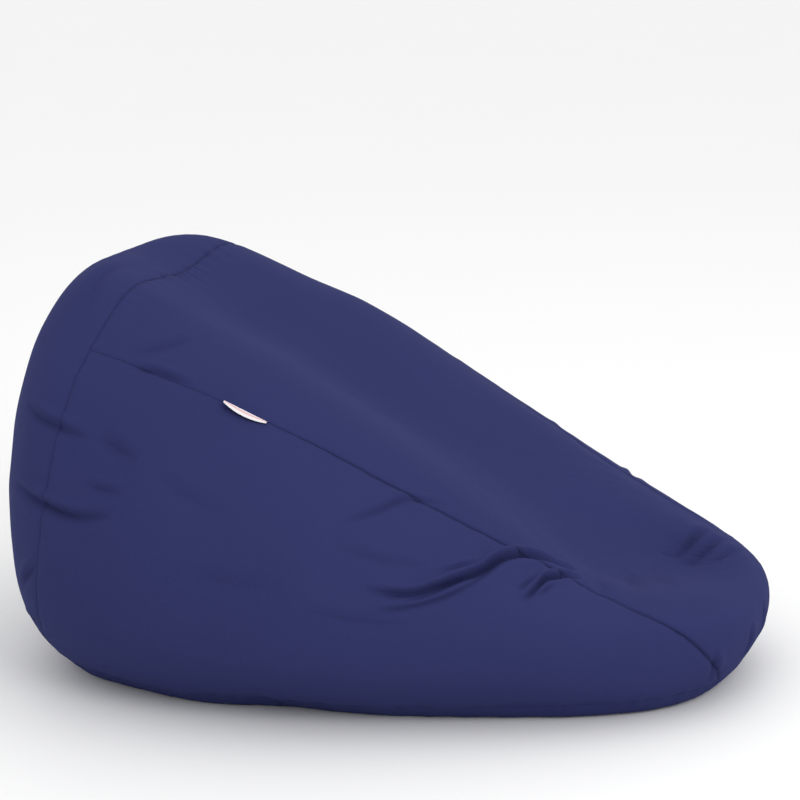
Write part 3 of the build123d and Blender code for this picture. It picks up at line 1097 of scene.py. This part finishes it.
class BEANBAG_OT_label(Operator):
    """Fold the blank woven label and catch it in the long seam"""
    bl_idname = "beanbag.label"
    bl_label = "Fold Label"

    def execute(self, context):
        trim = context.scene.bean_bag_trim
        low, high = (np.array(corner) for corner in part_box("woven_tab_label"))
        centre = (low + high) / 2
        along = unit(np.subtract(SIDE_SEAM_BOTTOM, SIDE_SEAM_TOP))
        seatward = SIDE_PLANES[-1][1]
        outward = unit(np.cross(along, seatward))
        if outward[0] > 0:
            outward = -outward
        root, thickness = -0.008, 0.0009
        sweep = np.linspace(0, 1, 14)
        stand = root + 0.0115 * np.sin(np.pi * 0.5 * np.minimum(sweep * 1.25, 1))
        drop = 0.0095 * (np.clip(sweep - 0.25, 0, 1) / 0.75) ** 1.2
        sides = np.linspace(-1, 1, 33)
        columns = []
        for side in sides:
            bow = 1 - side ** 2
            lift = stand + 0.0016 * bow * sweep
            hang = drop * (0.45 + 0.65 * bow)
            line = centre + along * (side * LABEL_HALF_LENGTH)
            line = line + outward * lift[:, None] - seatward * hang[:, None]
            slope = np.gradient(line, axis=0)
            facing = np.cross(slope, along)
            facing /= np.linalg.norm(facing, axis=1)[:, None]
            taper = thickness / 2 * np.minimum(1, 0.35 + 3 * (1 - sweep))
            half = facing * taper[:, None]
            columns.append(np.vstack([line + half, (line - half)[::-1]]))
        rows = len(columns[0])
        faces = []
        for step in range(len(sides) - 1):
            for row in range(rows):
                beside = (row + 1) % rows
                faces.append([step * rows + row, step * rows + beside,
                              (step + 1) * rows + beside, (step + 1) * rows + row])
        faces.append(list(range(rows)))
        faces.append([(len(sides) - 1) * rows + row for row in range(rows)][::-1])
        satin = label_satin("label_satin", (*trim.label_colour, 1), tuple(trim.label_stripe))
        label = new_piece("woven_label", np.vstack(columns), faces, satin)
        stripe = np.tile(np.concatenate([sweep, sweep[::-1]]), len(sides))
        layer = label.data.attributes.new("stripe", "FLOAT", "POINT")
        layer.data.foreach_set("value", np.exp(-((stripe - 0.62) / 0.09) ** 2).astype(np.float32) * 0.8)
        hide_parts("woven_tab_label")
        return {"FINISHED"}


class BEANBAG_OT_zip(Operator):
    """Wind the zip's coils, stitch its tapes in and finish its slider, pull, stops and tabs"""
    bl_idname = "beanbag.zip"
    bl_label = "Fit Zip"

    def execute(self, context):
        trim = context.scene.bean_bag_trim
        dye = tuple(context.scene.bean_bag_cover.cloth_colour)
        metal = zip_metal("zip_metal", (0.035, 0.037, 0.075), (0.42, 0.43, 0.45))
        filament = nylon("zip_nylon", shaded(dye, 0.9))
        tape = zip_tape_cloth("zip_tape", shaded(dye, 0.85))
        liner_filament = nylon("liner_zip_nylon", (0.7, 0.7, 0.68))
        liner_tape = zip_tape_cloth("liner_zip_tape", (0.62, 0.62, 0.6))
        zips = (("zip", filament, tape), ("liner_zip", liner_filament, liner_tape))
        for prefix, coil_finish, tape_finish in zips:
            for side in ("front", "rear"):
                coil = f"{prefix}_coil_{side}"
                points, faces = coil_mesh(coil, trim.coil_pitch, trim.coil_wire)
                winding = new_piece(coil + "_filament", points, faces, coil_finish)
                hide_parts(coil)
                finish_node(f"{prefix}_tape_{side}", tape_finish)
            for name in ("stop_closed", "stop_open", "slider"):
                finish_node(f"{prefix}_{name}", metal)
        finish_node("zip_pull", metal)
        cloth = bpy.data.materials["cover_cloth"]
        for side in ("right", "left"):
            low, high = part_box(f"zip_end_tab_{side}")
            layers = []
            for level in (0.22, 0.78):
                middle = low.z + level * (high.z - low.z)
                layer_low = Vector((low.x, low.y, middle))
                layer_high = Vector((high.x, high.y, middle))
                layers.append(thin_sheet(layer_low, layer_high, 0.0004, 0.00003))
            points, faces = joined(layers)
            tab = new_piece(f"zip_end_tab_{side}_cloth", points, faces, cloth)
            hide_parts(f"zip_end_tab_{side}")
        self.stitch_tapes(trim, dye)
        return {"FINISHED"}

    def stitch_tapes(self, trim, dye):
        """Two rows of stitches on each side of the slot, through the cloth and the tape."""
        thread = nylon("sewing_thread", shaded(dye, 1.5))
        height = CHANNEL_DEPTH - 0.00005
        rows = []
        for side in (-1, 1):
            for inset in TAPE_STITCH_INSETS:
                y = ZIP_Y + side * (ZIP_HALF_WIDTH + inset)
                ends = (-ZIP_HALF_SLOT, y, height), (ZIP_HALF_SLOT, y, height)
                rows.append(stitch_row(*ends, trim.stitch_pitch))
        for side in (-1, 1):
            for inset in END_STITCH_INSETS:
                x = side * (ZIP_HALF_SLOT + inset)
                ends = (x, ZIP_Y - ZIP_HALF_WIDTH, height), (x, ZIP_Y + ZIP_HALF_WIDTH, height)
                rows.append(stitch_row(*ends, END_STITCH_LENGTH))
        starts, ends = (np.vstack(column) for column in zip(*rows))
        points, faces = stitches(starts, ends, trim.thread_radius, np.array([0, 0, -0.0002]))
        new_piece("zip_stitching", points, faces, thread)


class BEANBAG_OT_liner(Operator):
    """Sew the liner that holds the beads, with its slot for the small zip, and the care label"""
    bl_idname = "beanbag.liner"
    bl_label = "Sew Liner"

    def execute(self, context):
        cover = context.scene.bean_bag_cover
        main_depth = CHANNEL_DEPTH + ZIP_ROOM_ABOVE
        points, faces = inner_form(LINER_INSET, main_depth, LINER_CHANNEL_DEPTH, cover)
        centres = points[faces].mean(axis=1)
        hole = (centres[:, 2] < 0.02) & (np.abs(centres[:, 1] - LINER_ZIP_Y) < ZIP_HALF_WIDTH)
        hole &= np.abs(centres[:, 0]) < LINER_HALF_SLOT
        normals = vertex_normals(points, faces)
        skin, skin_faces, _ = shell(points, faces[~hole], normals, LINER_THICKNESS, np.zeros(len(points)))
        cloth = woven_cloth("liner_cloth", (0.60, 0.59, 0.56), 0.0009, 0.15)
        liner = new_piece("liner_bag", skin, skin_faces, cloth)
        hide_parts("liner")
        satin = label_satin("care_label_satin", (0.82, 0.82, 0.80, 1), (0.82, 0.82, 0.80))
        low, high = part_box("care_label")
        points, faces = thin_sheet(low, high, 0.0003, 0.00008)
        care = new_piece("care_label_sheet", points, faces, satin)
        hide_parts("care_label")
        return {"FINISHED"}


class BEANBAG_OT_fill(Operator):
    """Pour in the beads as one settled mass"""
    bl_idname = "beanbag.fill"
    bl_label = "Pour Beads"

    def execute(self, context):
        cover = context.scene.bean_bag_cover
        main_depth = CHANNEL_DEPTH + ZIP_ROOM_ABOVE
        liner_depth = LINER_CHANNEL_DEPTH + ZIP_ROOM_ABOVE
        points, faces = inner_form(FILL_INSET, main_depth, liner_depth, cover)
        normals = vertex_normals(points, faces)
        lumps = 0.0006 * np.abs(cloth_noise(points, 0.012, 6))
        lumps[points[:, 2] < 0.03] = 0
        points = points - normals * lumps[:, None]
        foam = foam_beads("foam_beads", (0.88, 0.88, 0.87, 1))
        beads = new_piece("bead_mass", points, faces, foam)
        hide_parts("bead_fill")
        return {"FINISHED"}


class BEANBAG_OT_stage(Operator):
    """Lay the floor, hang the softboxes and place the camera"""
    bl_idname = "beanbag.stage"
    bl_label = "Set Stage"

    def execute(self, context):
        scene = context.scene
        stage = scene.bean_bag_stage
        floor_mesh = bpy.data.meshes.new("studio_floor")
        half = FLOOR_HALF_SIDE
        corners = [(x * half, y * half, FLOOR) for x, y in ((-1, -1), (1, -1), (1, 1), (-1, 1))]
        floor_mesh.from_pydata(corners, [], [(0, 1, 2, 3)])
        floor_mesh.materials.append(studio_floor("studio_floor", stage.floor_colour))
        floor = bpy.data.objects.new("studio_floor", floor_mesh)
        scene.collection.objects.link(floor)
        world = bpy.data.worlds.new("white_room")
        world.use_nodes = True
        background = world.node_tree.nodes["Background"]
        background.inputs["Color"].default_value = (1.0, 1.0, 1.0, 1.0)
        background.inputs["Strength"].default_value = stage.sky_strength
        scene.world = world
        scene.view_settings.view_transform = "Standard"
        aim = Vector((0.0, 0.0, stage.aim_height))
        for name, place, size, share in SOFTBOXES:
            self.softbox(scene, name, place, size, share * stage.key_power, aim)
        camera = bpy.data.objects.new("camera", bpy.data.cameras.new("camera"))
        scene.collection.objects.link(camera)
        away = Vector((
            math.sin(stage.azimuth) * math.cos(stage.elevation),
            -math.cos(stage.azimuth) * math.cos(stage.elevation),
            math.sin(stage.elevation),
        ))
        camera.location = aim + away * stage.distance
        camera.rotation_euler = (-away).to_track_quat("-Z", "Y").to_euler()
        camera.data.lens = stage.lens
        camera.data.sensor_width = 36.0
        camera.data.clip_start = 0.1
        scene.camera = camera
        return {"FINISHED"}

    def softbox(self, scene, name, place, size, power, aim):
        """A square area light that faces the bag."""
        light = bpy.data.lights.new(name, "AREA")
        light.shape = "SQUARE"
        light.size = size
        light.energy = power
        obj = bpy.data.objects.new(name, light)
        obj.location = place
        obj.rotation_euler = (aim - Vector(place)).to_track_quat("-Z", "Y").to_euler()
        scene.collection.objects.link(obj)


class BEANBAG_PT_panel(Panel):
    """Lists the steps of making the bean bag chair"""
    bl_idname = "BEANBAG_PT_panel"
    bl_label = "Bean Bag Chair"
    bl_space_type = "VIEW_3D"
    bl_region_type = "UI"
    bl_category = "Bean Bag"

    def draw(self, context):
        layout = self.layout
        for operator in STEPS:
            layout.operator(operator.bl_idname)
        for group in settings_of(context):
            box = layout.box()
            for name in group.bl_rna.properties.keys():
                if name not in ("rna_type", "name"):
                    box.prop(group, name)


STEPS = (
    BEANBAG_OT_cover,
    BEANBAG_OT_label,
    BEANBAG_OT_zip,
    BEANBAG_OT_liner,
    BEANBAG_OT_fill,
    BEANBAG_OT_stage,
)
SETTINGS = {
    "bean_bag_cover": CoverSettings,
    "bean_bag_trim": TrimSettings,
    "bean_bag_stage": StageSettings,
}


def register():
    for group in (*SETTINGS.values(), *STEPS, BEANBAG_PT_panel):
        bpy.utils.register_class(group)
    for name, group in SETTINGS.items():
        setattr(bpy.types.Scene, name, PointerProperty(type=group))


def unregister():
    for name in SETTINGS:
        delattr(bpy.types.Scene, name)
    for group in reversed((*SETTINGS.values(), *STEPS, BEANBAG_PT_panel)):
        bpy.utils.unregister_class(group)


def main():
    register()
    for step in STEPS:
        group, action = step.bl_idname.split(".")
        getattr(getattr(bpy.ops, group), action)()


if __name__ == "__main__":
    main()
